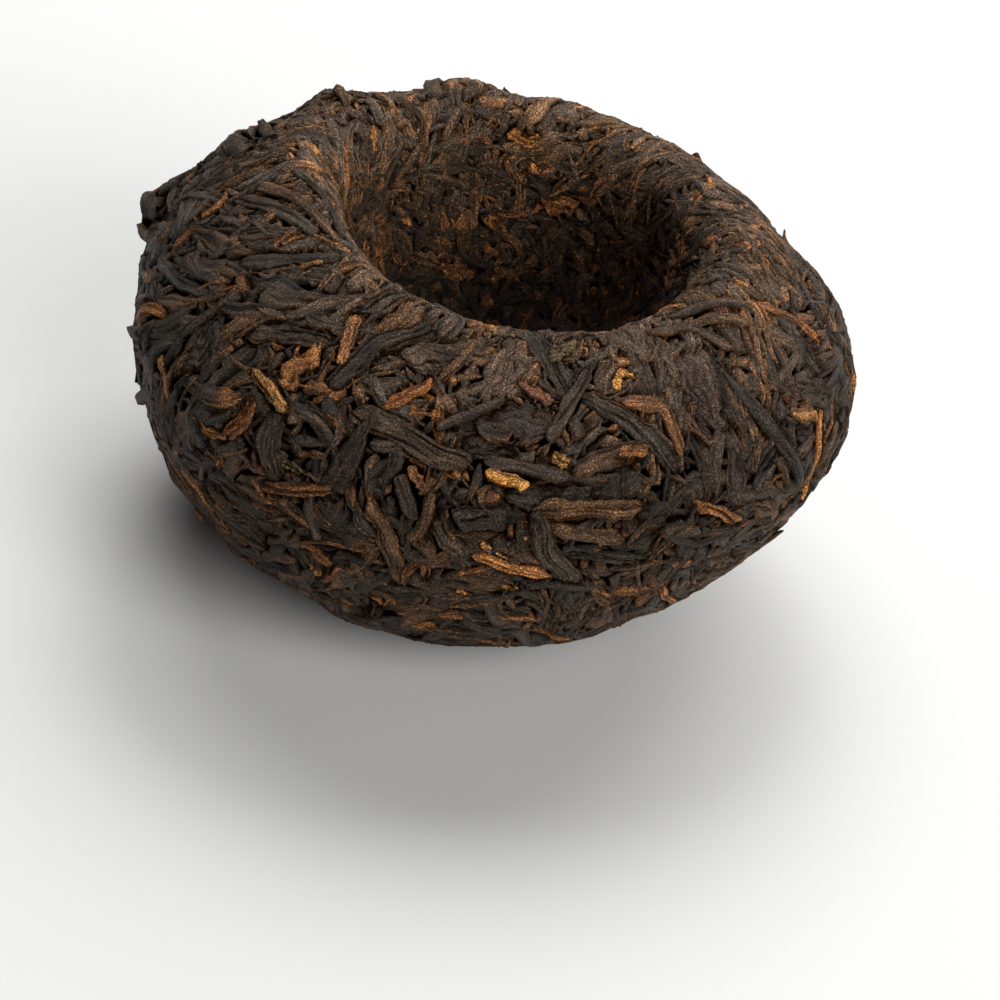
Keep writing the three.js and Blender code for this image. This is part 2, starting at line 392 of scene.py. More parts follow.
def pixel_path(finder, pixels, stations):
    """A place on the cake and the chart's path from it through what some pixels show."""
    places = np.array([finder.place(pixel) for pixel in pixels])
    middle = places[len(places) // 2]
    turns = half_turns(places[:, 1] - middle[1])
    knots = np.column_stack([places[:, 0] - middle[0], turns * profile.radius(middle[0])])
    lengths = run_lengths(knots)
    wanted = lengths[-1] * crowded(stations)
    path = np.column_stack([np.interp(wanted, lengths, knots[:, i]) for i in (0, 1)])
    for _ in range(2):
        path[1:-1] = (path[:-2] + 2 * path[1:-1] + path[2:]) / 4
    return tuple(middle), path


def eased(values, passes):
    """Values evened out along a leaf, as its stiffness does."""
    for _ in range(passes):
        padded = np.concatenate([values[:1], values, values[-1:]])
        values = (padded[:-2] + 2 * padded[1:-1] + padded[2:]) / 4
    return values


def eased_both(values, passes):
    """Values evened out along a leaf and across it."""
    return eased(eased(values, passes).T, passes).T


def wavy(stations, size, waves=3):
    """Smooth random values along a leaf."""
    t = np.linspace(0, 1, stations)
    phases = random.uniform(0, 2 * math.pi, waves)
    counts = random.uniform(0.6, 2.6, waves)
    return size * np.sin(2 * math.pi * counts[:, None] * t + phases[:, None]).sum(0) / math.sqrt(waves)


class Kind:
    """Leaves of one kind, gathered as arrays and made into one mesh."""

    def __init__(self, name, roughness=0.6):
        self.name = name
        self.roughness = roughness
        self.leaves = []

    def add(self, grid, colours, places, length, width, mark, tops=None):
        """Adds one closed strip from a grid of points, stations by places round its section."""
        stations, around = grid.shape[:2]
        ids = np.arange(stations * around).reshape(stations, around)
        row, side = np.meshgrid(np.arange(stations - 1), np.arange(around), indexing="ij")
        rows = np.stack([row, row, row + 1, row + 1], axis=-1).reshape(-1, 4)
        sides = np.stack([side, side + 1, side + 1, side], axis=-1).reshape(-1, 4)
        faces = ids[rows, sides % around]
        cell = np.stack([rows / (stations - 1) * 0.9 + 0.05, sides / around], axis=-1)
        ends, end_cells = self.caps(ids, around)
        cells = np.concatenate([cell, end_cells])
        self.leaves.append(
            SimpleNamespace(
                points=grid.reshape(-1, 3),
                faces=np.concatenate([faces, ends]),
                cells=cells,
                marks=cells * (length / 10, width / 5) + mark,
                colours=colours.reshape(-1, 3),
                places=places.reshape(-1, 3),
                tops=tops,
            )
        )

    @staticmethod
    def caps(ids, around):
        """Faces that close a strip's two ends, and their places in its cell of the map."""
        pairs = np.arange(around // 2 - 1)
        corners = np.stack([pairs, pairs + 1, around - 2 - pairs, around - 1 - pairs], axis=-1)
        across = np.stack([pairs, pairs + 1, pairs + 1, pairs], axis=-1) / (around // 2)
        first = np.stack([np.broadcast_to([0.05, 0.05, 0.0, 0.0], across.shape), across], axis=-1)
        last = np.stack([np.broadcast_to([0.95, 0.95, 1.0, 1.0], across.shape), across], axis=-1)
        ends = np.concatenate([ids[0][corners][:, ::-1], ids[-1][corners]])
        return ends, np.concatenate([first[:, ::-1], last])

    def atlas(self):
        """Each leaf's cell in a square map of all of them."""
        side = math.ceil(math.sqrt(len(self.leaves)))
        gap = 0.06
        shifted = []
        for i, leaf in enumerate(self.leaves):
            corner = np.array([i % side, i // side])
            shifted.append((corner + gap / 2 + leaf.cells * (1 - gap)) / side)
        return np.concatenate(shifted)

    def drop_hidden(self, pile):
        """Leaves out the leaves that others cover."""
        tops = pile.tops()
        kept = []
        for leaf in self.leaves:
            along, turn, height = leaf.places.T
            if np.mean(height > tops[pile.cells(along, turn)] - SEEN_DEPTH) > SEEN_SHARE:
                kept.append(leaf)
        self.leaves = kept

    def joined(self, name):
        return np.concatenate([getattr(leaf, name) for leaf in self.leaves])

    def shades(self, pile, levels):
        """How light each point is painted, from what lies higher close by and farther around it: painted
        crevice shade.
        """
        along, turn, height = self.joined("places").T
        cells = pile.cells(along, turn)
        near, far = [height - level[cells] for level in levels]
        return crevice_light(far, *FAR_CREVICE) * crevice_light(near, *NEAR_CREVICE)

    def mesh(self, material, pile, levels):
        """One mesh of all the leaves, with their colours and maps."""
        points = self.joined("points") * MM
        starts = np.cumsum([0] + [len(leaf.points) for leaf in self.leaves])
        placed = [leaf.faces + start for leaf, start in zip(self.leaves, starts)]
        faces = np.concatenate(placed).astype(np.int32)
        data = bpy.data.meshes.new(self.name)
        data.vertices.add(len(points))
        data.vertices.foreach_set("co", points.ravel())
        data.loops.add(faces.size)
        data.loops.foreach_set("vertex_index", faces.ravel())
        data.polygons.add(len(faces))
        data.polygons.foreach_set("loop_start", np.arange(0, faces.size, 4, dtype=np.int32))
        data.polygons.foreach_set("use_smooth", np.ones(len(faces), dtype=bool))
        # Painted crevice shade darkens the colours, and as their alpha it lowers the sheen
        shade = self.shades(pile, levels)
        colours = self.joined("colours") * shade[:, None] ** DEEP_TINT
        tea = data.color_attributes.new("Tea", "FLOAT_COLOR", "POINT")
        tea.data.foreach_set("color", np.column_stack([colours, shade]).ravel())
        data.uv_layers.new(name="Leaf").data.foreach_set("uv", self.joined("marks").ravel())
        data.uv_layers.new(name="OFBake").data.foreach_set("uv", self.atlas().ravel())
        data.update()
        data.materials.append(material)
        piece = bpy.data.objects.new(self.name, data)
        bpy.context.scene.collection.objects.link(piece)
        return piece


def crevice_light(height, deepest, end, least):
    """Share of the colour that painted crevice shade leaves at a height above or below the mean around it.
    """
    return least + (1 - least) * smoothstep(height, deepest, end)


def leaf_lines(leaf, t):
    """Places across a leaf, from -1 to 1, of the lines of points that run along it and wander together."""
    even = np.linspace(-1, 1, leaf.columns) * math.pi / 2 * 0.8
    lines = np.sin(even) / math.sin(math.pi / 2 * 0.8)
    wander = np.clip(wavy(len(t), 0.16) + random.normal(0, leaf.drift) * (t - 0.5), -0.42, 0.42)
    return lines + wander[:, None] * (1 - lines**2)


def crease_depths(leaf, t):
    """Depth from 0 to 1 of the folds in a leaf, each along one of its lines of points."""
    depths = np.zeros((len(t), leaf.columns))
    inner = np.arange(1, leaf.columns - 1)
    for line in random.choice(inner, min(leaf.creases, len(inner)), replace=False):
        start = random.uniform(-0.5, 0.4)
        end = start + random.uniform(0.5, 1.3)
        strength = smoothstep(t, start, start + 0.15) * (1 - smoothstep(t, end, end + 0.15))
        depths[:, line] = random.uniform(0.25, 1) * strength
    return depths


def leaf_facets(leaf, across):
    """Heights of a leaf's flat facets, which meet at ridges along it."""
    heights = np.zeros(across.shape)
    for _ in range(3):
        heights += random.normal(0, leaf.facets) * np.abs(across - random.uniform(-0.7, 0.7))
    return heights - heights.mean(1)[:, None]


def leaf_edge(leaf, girth):
    """Half width of one side of a leaf along its length, wavy and frayed."""
    stations = len(girth)
    waves = wavy(stations, leaf.ragged)
    fray = random.normal(0, leaf.ragged / 2, stations)
    return leaf.width / 2 * girth * (1 + waves + fray)


def leaf_plan(leaf, path):
    """A leaf seen from above: shares along and across it, its girth and its places in the chart."""
    distance = run_lengths(path)
    t = distance / distance[-1]
    way = np.gradient(path, axis=0)
    way /= np.linalg.norm(way, axis=1)[:, None] + 1e-9
    aside = np.column_stack([-way[:, 1], way[:, 0]])
    girth = np.clip((t + TIP_STUB) / leaf.tapers[0], 0, 1) ** leaf.tip_power
    girth = girth * np.clip((1 + TIP_STUB - t) / leaf.tapers[1], 0, 1) ** leaf.tip_power
    across = leaf_lines(leaf, t)
    left, right = leaf_edge(leaf, girth), leaf_edge(leaf, girth)
    offset = np.where(across < 0, left[:, None], right[:, None]) * across
    slants = leaf.slants[0] * (1 - smoothstep(t, 0, 0.5)) + leaf.slants[1] * smoothstep(t, 0.5, 1)
    slide = slants[:, None] * offset
    spots = path[:, None] + aside[:, None] * offset[..., None] + way[:, None] * slide[..., None]
    return SimpleNamespace(
        t=t,
        girth=girth,
        across=across,
        offset=offset,
        half_width=(left + right) / 2,
        spots=spots,
    )


def leaf_bed(leaf, plan, support):
    """Heights that a leaf comes to lie at: along its middle, and at its points, where it drapes."""
    level = eased(np.quantile(support, BED_SHARE, axis=1), leaf.stiffness)
    level = np.maximum(level - leaf.sink, leaf.rest)
    middle = leaf.columns // 2
    lean = (support[:, middle + 1 :].mean(1) - support[:, :middle].mean(1)) / (plan.half_width + 0.3)
    lean = eased(np.clip(lean, -0.4, 0.4), leaf.stiffness)
    level = level + wavy(len(plan.t), leaf.heave, 2) + leaf.lift * smoothstep(plan.t, 0.4, 1) ** 2
    bed = level[:, None] + lean[:, None] * plan.offset
    drape = leaf.drape * eased_both(np.clip(support - bed, -0.4, 0.5), 2)
    return level, bed + drape


def leaf_top(leaf, plan, bed, thickness, creases, support, ceiling):
    """Heights of a leaf's upper face, pressed, folded and crumpled."""
    edge = (1 - np.minimum(np.abs(plan.across), 1) ** leaf.flatness) ** 0.5
    top = bed + thickness[:, None] * (edge + leaf.roll * plan.across)
    pressed = PRESS_LEVEL + (top - PRESS_LEVEL) * PRESS_SHARE
    top = np.where((top > PRESS_LEVEL) & (leaf.lift == 0), pressed, top)
    if leaf.on_top:
        top = np.maximum(top, eased_both(support, 1) + 0.15 * edge)
    relief = random.normal(0, leaf.crumple, creases.shape) - leaf.crease_depth * creases
    return np.minimum(top + (relief + leaf_facets(leaf, plan.across)) * edge, ceiling)


def with_under(values):
    """Values at a leaf's upper points, and the same again for those of its underside."""
    return np.concatenate([values, values[:, UNDER_COLUMNS]], axis=1)


def lay_leaf(pile, kind, place, path, leaf):
    """Lays a leaf on the pile along a path, and adds it to its kind."""
    plan = leaf_plan(leaf, path)
    along, turn = chart_places(*place, plan.spots[..., 0], plan.spots[..., 1])
    support = pile.heights[pile.cells(along, turn)]
    level, bed = leaf_bed(leaf, plan, support)
    thickness = leaf.thickness * (0.3 + 0.7 * plan.girth)
    creases = crease_depths(leaf, plan.t)
    top = leaf_top(leaf, plan, bed, thickness, creases, support, pile.ceiling(along, turn))
    tops = along, turn, top
    pile.add(*tops)
    under = np.minimum(top[:, UNDER_COLUMNS] - thickness[:, None] * 0.9, level[:, None] - 0.2)
    under = np.where(leaf.lift == 0, under, top[:, UNDER_COLUMNS] - 0.35)
    heights = np.concatenate([top, under], axis=1)
    along, turn = with_under(along), with_under(turn)
    # Painted shade: folds darker at their bottom, and the underside darker
    painted_fold_and_under_shade = np.concatenate([1 - CREASE_SHADE * creases, np.full(under.shape, UNDER_LIGHT)], axis=1)
    colours = leaf_colours(leaf, plan.t, with_under(plan.across))
    # Painted sheen on the crest and upper wall, painted shade on the hollow's floor
    colours = rubbed(colours, along, leaf.rub) * painted_fold_and_under_shade[..., None]
    places = np.stack([along, turn, heights], axis=-1)
    grid = on_cake(along, turn, heights - CORE_DEPTH)
    kind.add(grid, colours, places, leaf.length, leaf.width, leaf.mark, tops)


def rubbed(colours, along, rub):
    """Colours made pale by a painted sheen with a dusty tint, by their place: most on the crest, least on
    the hollow's floor, which gets painted shade.
    """
    past_crest = along[..., None] - profile.crest_at
    reach = np.where(past_crest > 0, WALL_REACH, CREST_REACH)
    floor = smoothstep(past_crest, WALL_REACH * 0.7, WALL_REACH * 1.9)
    sheen_amount = rub * CREST_PAINTED_SHEEN * np.exp(-((past_crest / reach) ** 2))
    sheen_tint = OWN_SHARE * colours + (1 - OWN_SHARE) * DUSTY_SHEEN
    return (colours + sheen_amount * sheen_tint) * (1 - FLOOR_SHADE * floor)


def leaf_colours(leaf, t, across):
    """Colour of each point: the leaf's own, mottled, with its tip's and its edges' colours, and painted
    shade along its rims.
    """
    tip = smoothstep(t, leaf.tip_from, leaf.tip_from + 0.3)[:, None, None]
    rim = (leaf.edge_share * np.abs(across) ** 4 * (across * leaf.edge_side > 0))[..., None]
    # Painted shade along the leaf's rims, where crevices lie between leaves
    painted_rim_shade = 0.5 * np.abs(across) ** 10
    mottle = 1 + wavy(len(t), 0.16, 2)[:, None] + random.normal(0, 0.12, across.shape)
    tipped = leaf.colour * (1 - tip) + leaf.tip_colour * tip
    edged = tipped * (1 - rim) + leaf.edge_colour * rim
    return np.clip(edged * (mottle * (1 - painted_rim_shade))[..., None], 0, 1)


# Colours as the photograph shows them on lit faces
def tone(red, green, blue):
    """Linear colour from display values of 0 to 255."""
    value = np.array([red, green, blue]) / 255
    return np.where(value <= 0.04045, value / 12.92, ((value + 0.055) / 1.055) ** 2.4)


BLACK = tone(52, 41, 30)
SLATE = tone(58, 49, 39)
DARK = tone(66, 51, 38)
PLUM = tone(71, 54, 43)
BROWN = tone(92, 66, 42)
RUST = tone(116, 75, 42)
ORANGE = tone(144, 93, 48)
GOLD = tone(182, 128, 66)
OLIVE = tone(100, 84, 48)
# Tint of the painted sheen on the crest
DUSTY_SHEEN = tone(60, 47, 36)
DEEP_TINT = (0.85, 1.1, 1.4)  # powers of the painted shade that make crevices a warm black
DARK_TONES = [(BLACK, 26), (SLATE, 20), (DARK, 28), (PLUM, 12), (BROWN, 14)]
BROKEN_TONES = [(BLACK, 22), (SLATE, 14), (DARK, 28), (BROWN, 24), (RUST, 10), (ORANGE, 2)]
CHIP_TONES = [(BROWN, 4), (RUST, 2), (ORANGE, 1), (DARK * 1.5, 3), (BLACK, 5)]
STALK_TONES = [(DARK, 4), (BROWN, 4), (RUST, 2), (ORANGE * 0.8, 1)]
BUD_TONES = [(BROWN, 4), (RUST, 5), (ORANGE, 2), (GOLD * 0.7, 1), (OLIVE, 1)]
END_TONES = [(BROWN, 5), (RUST, 4), (ORANGE, 1)]
EDGE_TONES = [(BROWN, 4), (RUST, 3), (ORANGE * 0.8, 1)]


def pick(choices):
    """One of several values by their shares."""
    values, shares = zip(*choices)
    return values[random.choice(len(values), p=np.array(shares) / sum(shares))]


# Kinds of leaf
def flat_leaf():
    """A strip pressed flat: long and narrow, with folds along it."""
    width = random.uniform(1.4, 3.0)
    colour = pick(DARK_TONES) * random.uniform(0.7, 1.25)
    return SimpleNamespace(
        length=random.uniform(3.5, 8.5),
        width=width,
        columns=11,
        thickness=random.uniform(0.3, 0.55),
        flatness=random.uniform(8, 16),
        tapers=random.uniform(0.03, 0.25, 2),
        tip_power=random.uniform(0.3, 0.65),
        slants=random.normal(0, 0.5, 2),
        ragged=random.uniform(0.08, 0.26),
        creases=int(width / random.uniform(0.35, 0.7)),
        crease_depth=random.uniform(0.12, 0.36),
        facets=0.08,
        drift=0.4,
        crumple=0.06,
        roll=random.uniform(-0.3, 0.3),
        sink=0.2,
        rest=SURFACE_REST,
        drape=0.4,
        on_top=False,
        stiffness=2,
        heave=0.06,
        lift=0,
        colour=colour,
        rub=1.0,
        tip_colour=pick(END_TONES),
        tip_from=random.uniform(0.45, 0.75) if random.random() < 0.12 else 2,
        edge_colour=pick(EDGE_TONES),
        edge_share=random.uniform(0.5, 1),
        edge_side=pick([(-1, 1), (0, 2), (1, 1)]),
        mark=random.uniform(0, 40, 2),
    )


def altered(leaf, **traits):
    """A leaf with some of its traits changed."""
    vars(leaf).update(traits)
    return leaf


def long_leaf():
    """A long strip pressed flat."""
    return altered(flat_leaf(), length=random.uniform(8.5, 14))


def rolled_leaf():
    """A leaf rolled into a narrow twisted strip."""
    width = random.uniform(1.0, 1.9)
    return altered(
        flat_leaf(),
        length=random.uniform(4.5, 13),
        width=width,
        columns=9,
        thickness=random.uniform(0.4, 0.65),
        flatness=random.uniform(3, 7),
        creases=int(width / random.uniform(0.3, 0.55)),
        drift=random.uniform(0.4, 1.2),
        crumple=0.035,
        drape=0.2,
    )


def broad_leaf():
    """A broad leaf pressed flat, with wrinkles."""
    width = random.uniform(3.0, 5.0)
    return altered(
        flat_leaf(),
        length=random.uniform(6, 11),
        width=width,
        columns=17,
        thickness=random.uniform(0.25, 0.4),
        flatness=random.uniform(10, 20),
        tapers=random.uniform(0.05, 0.5, 2),
        creases=int(width / random.uniform(0.55, 1.1)),
        crease_depth=random.uniform(0.12, 0.3),
        facets=0.07,
        drift=0.5,
        crumple=0.055,
        drape=0.6,
        heave=0.1,
        tip_from=2,
    )


def scrap_leaf():
    """A broken bit of leaf."""
    width = random.uniform(0.8, 2.3)
    return altered(
        flat_leaf(),
        length=random.uniform(1.8, 5.0),
        width=width,
        columns=5,
        thickness=random.uniform(0.25, 0.45),
        tapers=random.uniform(0.05, 0.4, 2),
        creases=1,
        ragged=0.25,
        rest=SCRAP_REST,
        stiffness=1,
        colour=pick(BROKEN_TONES) * random.uniform(0.55, 1.05),
    )


def crumb():
    """A crumb of leaf."""
    return altered(scrap_leaf(), length=random.uniform(0.8, 2.2), width=random.uniform(0.5, 1.3))


def wall_chip():
    """A flat chip of leaf, paler or darker than the leaves around it."""
    return altered(
        scrap_leaf(),
        length=random.uniform(2.5, 6),
        width=random.uniform(1.3, 3),
        colour=pick(CHIP_TONES) * random.uniform(0.8, 1.6),
        edge_side=0,
        rub=0.4,
    )


def loose_leaf():
    """A broken bit of leaf with one end that stands off the cake."""
    return altered(scrap_leaf(), width=random.uniform(1.2, 2.6), lift=random.uniform(0.3, 1.0))


def standing_bit():
    """A thick bit of leaf that stands out from the cake's outline."""
    return altered(loose_leaf(), thickness=random.uniform(0.6, 0.9), lift=random.uniform(0.5, 1.0))


def stalk():
    """A thin stalk or fibre."""
    return altered(
        flat_leaf(),
        length=random.uniform(2.5, 8),
        width=random.uniform(0.3, 0.6),
        columns=5,
        thickness=random.uniform(0.25, 0.4),
        flatness=2.5,
        colour=pick(STALK_TONES) * random.uniform(0.6, 1),
        creases=0,
        facets=0,
        rub=0.5,
    )


def tip_leaf():
    """A golden or rust coloured bud tip."""
    colour = pick(BUD_TONES) * random.uniform(0.7, 1.05)
    return altered(
        flat_leaf(),
        length=random.uniform(2.5, 7),
        width=random.uniform(0.8, 1.7),
        columns=9,
        thickness=random.uniform(0.25, 0.42),
        flatness=random.uniform(6, 14),
        ragged=random.uniform(0.15, 0.3),
        colour=colour,
        edge_colour=DARK,
        edge_side=pick([(-1, 1), (1, 1)]),
        tip_colour=colour * 1.25,
        tip_from=random.uniform(0.2, 0.7),
        creases=3,
        rub=0.3,
    )


# Leaves that stand out in the photograph: their colour, width in millimetres and pixels
NOTED_TIPS = {
    "golden tip": (GOLD * 0.9, 1.3, (253, 373), (270, 388), (287, 411)),
    "orange tip above it": (ORANGE * 1.15, 2.4, (282, 389), (296, 365), (321, 355)),
    "brown stalk": (RUST * 1.9, 1.6, (341, 364), (347, 340), (356, 315)),
    "orange tip in front": (tone(146, 88, 40), 1.5, (384, 405), (408, 395), (433, 382)),
    "brown leaf at the left": (RUST * 1.5, 1.9, (252, 399), (243, 420), (225, 438)),
    "orange end beside it": (ORANGE * 1.3, 1.4, (199, 425), (211, 433), (226, 437)),
    "loop at the left edge": (ORANGE * 1.1, 1.3, (131, 326), (140, 309), (154, 307), (168, 318)),
    "red tip below the lip": (tone(110, 67, 46), 1.5, (520, 380), (535, 393), (550, 403)),
    "golden curl": (GOLD * 1.3, 1.1, (618, 391), (617, 376), (631, 374)),
    "bent brown leaf": (RUST * 1.1, 1.9, (625, 404), (648, 400), (664, 410), (684, 452)),
    "brown leaf of the middle": (BROWN, 2.2, (573, 472), (608, 455), (647, 450)),
    "orange end of it": (ORANGE, 1.2, (620, 453), (634, 449), (648, 452)),
    "golden bar": (GOLD * 1.55, 1.3, (484, 473), (505, 482), (527, 489)),
    "stalk at the right edge": (ORANGE * 1.9, 1.2, (819, 412), (815, 455), (800, 498)),
    "stalk of the shoulder": (RUST * 1.3, 1.4, (760, 303), (793, 318), (820, 343)),
    "bud at the bottom": (ORANGE * 2.2, 1.7, (473, 555), (508, 567), (548, 577)),
    "brown leaf lower down": (RUST * 1.2, 1.7, (263, 484), (297, 491), (330, 489)),
    "curl at the bottom": (RUST, 1.1, (402, 585), (408, 566), (427, 563), (424, 582)),
    "first streak at the lower left": (ORANGE * 1.1, 1.3, (182, 466), (198, 488), (215, 512)),
    "tips at the lower right": (RUST * 1.4, 1.3, (691, 501), (713, 510), (737, 521)),
    "strip on the left lip": (ORANGE * 0.9, 0.8, (313, 238), (331, 244), (349, 253)),
    "flake in the hollow": (RUST * 1.8, 2.6, (545, 205), (560, 206), (576, 210)),
    "flake under the far rim": (ORANGE, 1.6, (510, 130), (525, 140), (542, 141)),
    "flakes at the upper left": (ORANGE * 1.1, 1.9, (203, 218), (215, 207), (228, 196)),
    "thin arc on the left lip": (GOLD * 0.7, 0.6, (281, 246), (292, 240), (304, 237)),
    "sliver under it": (GOLD * 0.5, 0.6, (299, 269), (311, 266), (324, 264)),
    "golden blob": (GOLD * 0.8, 1.2, (553, 456), (560, 460), (567, 465)),
    "olive knob": (tone(100, 84, 58), 2.2, (548, 352), (562, 349), (576, 346)),
    "golden fleck on the right": (GOLD, 0.9, (731, 279), (737, 282), (743, 287)),
    "first low bit": (GOLD * 0.8, 0.7, (456, 588), (464, 591), (471, 594)),
    "second low bit": (GOLD * 0.8, 0.7, (500, 584), (508, 587), (517, 590)),
    "third low bit": (GOLD * 0.7, 0.8, (596, 588), (603, 592), (611, 596)),
    "fourth low bit": (ORANGE, 1.0, (533, 627), (551, 633), (570, 639)),
    "bit at the lower right": (ORANGE, 0.9, (660, 587), (665, 595), (671, 604)),
    "bit at the lower left": (ORANGE, 0.8, (340, 597), (347, 600), (355, 604)),
    "tip above the curled strip": (RUST * 1.1, 1.1, (410, 465), (417, 477), (424, 488)),
    "second streak at the lower left": (ORANGE * 0.8, 1.0, (222, 517), (227, 526), (233, 535)),
    "green sliver": (OLIVE, 0.8, (284, 461), (293, 467), (302, 473)),
}
NOTED_LEAVES = {
    "purple leaf on the right": (PLUM, 5.4, (690, 348), (703, 385), (716, 428)),
    "bent strip of the middle": (SLATE * 1.2, 2.6, (588, 398), (625, 415), (655, 435), (680, 472)),
    "flat leaf under the oval one": (SLATE, 2.3, (464, 444), (489, 449), (514, 450)),
    "oval leaf": (DARK * 0.8, 4.2, (476, 427), (512, 420), (550, 430)),
    "long strip on the left": (DARK * 1.4, 2.6, (356, 412), (400, 432), (430, 452), (470, 466)),
    "broad leaf on the left": (DARK, 3.3, (272, 413), (268, 445), (280, 477)),
    "second broad leaf": (BLACK, 3.0, (356, 428), (345, 458), (332, 489)),
    "round leaf on the left": (SLATE, 4.4, (190, 352), (205, 346), (220, 340)),
    "leaf over the lip": (DARK * 1.4, 3.4, (474, 352), (440, 355), (403, 360)),
    "tan leaf over the lip": (BROWN * 1.2, 3.4, (364, 351), (392, 329), (422, 306)),
    "dark leaf along it": (BLACK, 2.6, (330, 388), (372, 350), (428, 328)),
    "curled leaf on the lip": (SLATE, 2.4, (367, 314), (388, 301), (412, 294)),
    "folded leaf below the lip": (SLATE, 2.9, (524, 332), (548, 360), (571, 391)),
    "forked brown leaf": (BROWN, 2.4, (366, 505), (385, 530), (392, 555), (400, 583)),
    "slate leaf of the front": (SLATE, 2.2, (506, 493), (548, 499), (590, 498)),
    "fibrous brown leaf": (BROWN * 1.35, 2.1, (531, 512), (585, 512), (642, 506)),
    "dark leaf at the bottom": (SLATE * 1.5, 2.6, (532, 514), (545, 548), (571, 584)),
    "dark leaf beside it": (SLATE, 1.9, (564, 551), (602, 556), (642, 561)),
    "stub of the front": (SLATE, 2.8, (457, 521), (480, 519), (506, 524)),
    "dark leaf at the upper left": (DARK, 2.0, (252, 329), (292, 336), (330, 343)),
    "leaf of the shoulder": (SLATE, 3.8, (795, 338), (806, 355), (818, 374)),
}
NOTED_STRIPS = {
    "long strip on the right": (SLATE, 1.8, (723, 366), (752, 405), (777, 440), (794, 498)),
    "thin strip of the middle": (DARK, 1.6, (588, 366), (570, 405), (548, 444)),
    "strip above the oval leaf": (DARK, 1.2, (434, 429), (468, 415), (503, 397)),
    "strip under the oval leaf": (PLUM, 1.5, (483, 462), (525, 470), (568, 479)),
    "curled strip of the front": (BROWN, 1.5, (434, 492), (428, 515), (410, 538)),
    "strip beside it": (DARK, 1.6, (397, 477), (405, 497), (413, 517)),
    "brown edged strip": (BROWN, 1.0, (436, 383), (458, 366), (474, 341)),
    "bar at the upper left": (BLACK, 2.1, (239, 263), (290, 261), (340, 256)),
    "first left stream": (DARK, 1.6, (235, 196), (275, 207), (314, 233)),
    "second left stream": (BROWN, 1.3, (262, 184), (300, 201), (335, 240)),
    "third left stream": (DARK, 1.5, (296, 168), (325, 200), (344, 240)),
    "fourth left stream": (BROWN, 1.2, (318, 158), (340, 195), (352, 236)),
    "first right stream": (DARK, 1.3, (664, 320), (702, 306), (744, 301)),
    "second right stream": (BROWN, 1.3, (668, 332), (706, 320), (750, 324)),
    "third right stream": (DARK, 1.5, (648, 334), (690, 328), (736, 346)),
}
NOTED_BITS = {
    "spike on the far rim": (DARK, 2.2, (437, 104), (433, 86)),
    "bit beside it": (DARK, 1.6, (463, 100), (474, 88)),
    "bit on the far left rim": (BROWN, 1.6, (350, 108), (340, 94)),
    "bit at the upper left": (DARK, 2.8, (246, 156), (234, 144)),
    "second bit at the upper left": (DARK, 1.6, (272, 138), (264, 126)),
    "spike at the left": (DARK, 2.8, (158, 216), (147, 204)),
    "bit under it": (BROWN, 2.2, (150, 240), (140, 232)),
    "bit at the left edge": (DARK, 1.8, (143, 340), (133, 330)),
    "bit lower at the left edge": (DARK, 1.8, (150, 404), (138, 394)),
}


def grain(along, turn):
    """Way that leaves tend to lie at a place: 0 runs up the profile, a quarter turn runs round the cake."""
    swirl = 0.9 * math.sin(3 * turn + along / 9) + 0.7 * math.sin(5 * turn - along / 6 + 2)
    wall = math.pi / 2 + swirl + random.normal(0, 0.5 if along < profile.crest_at else 1.2)
    stream = random.normal(0.25, 0.4)
    over_crest = math.exp(-(((along - profile.crest_at) / CREST_REACH) ** 2))
    return wall * (1 - over_crest) + stream * over_crest


AREA_PLACES = np.linspace(0, profile.length, 2000)
AREA_SHARES = np.cumsum(profile.radius(AREA_PLACES) + 0.2)
AREA_SHARES /= AREA_SHARES[-1]


def random_place(start):
    """A place on the cake past a distance along its profile, drawn evenly by area."""
    share = random.uniform(np.interp(start, AREA_PLACES, AREA_SHARES), 1)
    return float(np.interp(share, AREA_SHARES, AREA_PLACES)), random.uniform(-math.pi, math.pi)


def scatter(pile, kind, make, tries, most_support, stations, start=0.0):
    """Lays leaves where the pile is still low."""
    for _ in range(tries):
        place = random_place(start)
        leaf = make()
        if place[0] > profile.crest_at + CREST_REACH:
            leaf.length *= CHIP_SHARE
        path = bent_path(leaf.length, grain(*place), random.normal(0, 0.06), stations)
        along, turn = chart_places(*place, path[:, 0], path[:, 1])
        if pile.tops()[pile.cells(along, turn)].mean() < most_support:
            lay_leaf(pile, kind, place, path, leaf)


def fill_gaps(pile, kind, make, gap_level, least_share, stations, batch=150, rounds=40):
    """Lays leaves over gaps where the pile's mean is lower than a level, until few are left."""
    areas = np.repeat(profile.radius(np.arange(pile.rows) * CELL)[:, None] + 0.01, pile.columns, axis=1)
    for _ in range(rounds):
        low = np.where(pile.mean_level(1, 1) < gap_level, areas, 0).ravel()
        if low.sum() < least_share * areas.sum():
            return
        for spot in random.choice(len(low), batch, p=low / low.sum()):
            row, column = divmod(spot, pile.columns)
            if pile.heights[row, column] < gap_level + 0.1:
                leaf = make()
                path = bent_path(leaf.length, random.uniform(0, math.pi), random.normal(0, 0.1), stations)
                lay_leaf(pile, kind, (row * CELL, column / pile.columns * 2 * math.pi), path, leaf)


def lay_noted(pile, finder, kind, make, noted, stations):
    """Lays the leaves that stand out in the photograph."""
    for colour, width, *pixels in noted.values():
        place, path = pixel_path(finder, pixels, stations)
        leaf = altered(
            make(),
            length=run_lengths(path)[-1],
            width=width,
            colour=colour,
            tip_colour=colour,
            on_top=True,
            rest=NOTED_REST,
            rub=NOTED_PAINTED_SHEEN,
            tapers=random.uniform(0.02, 0.2, 2),
            tip_power=random.uniform(0.3, 0.6),
        )
        lay_leaf(pile, kind, place, path, leaf)


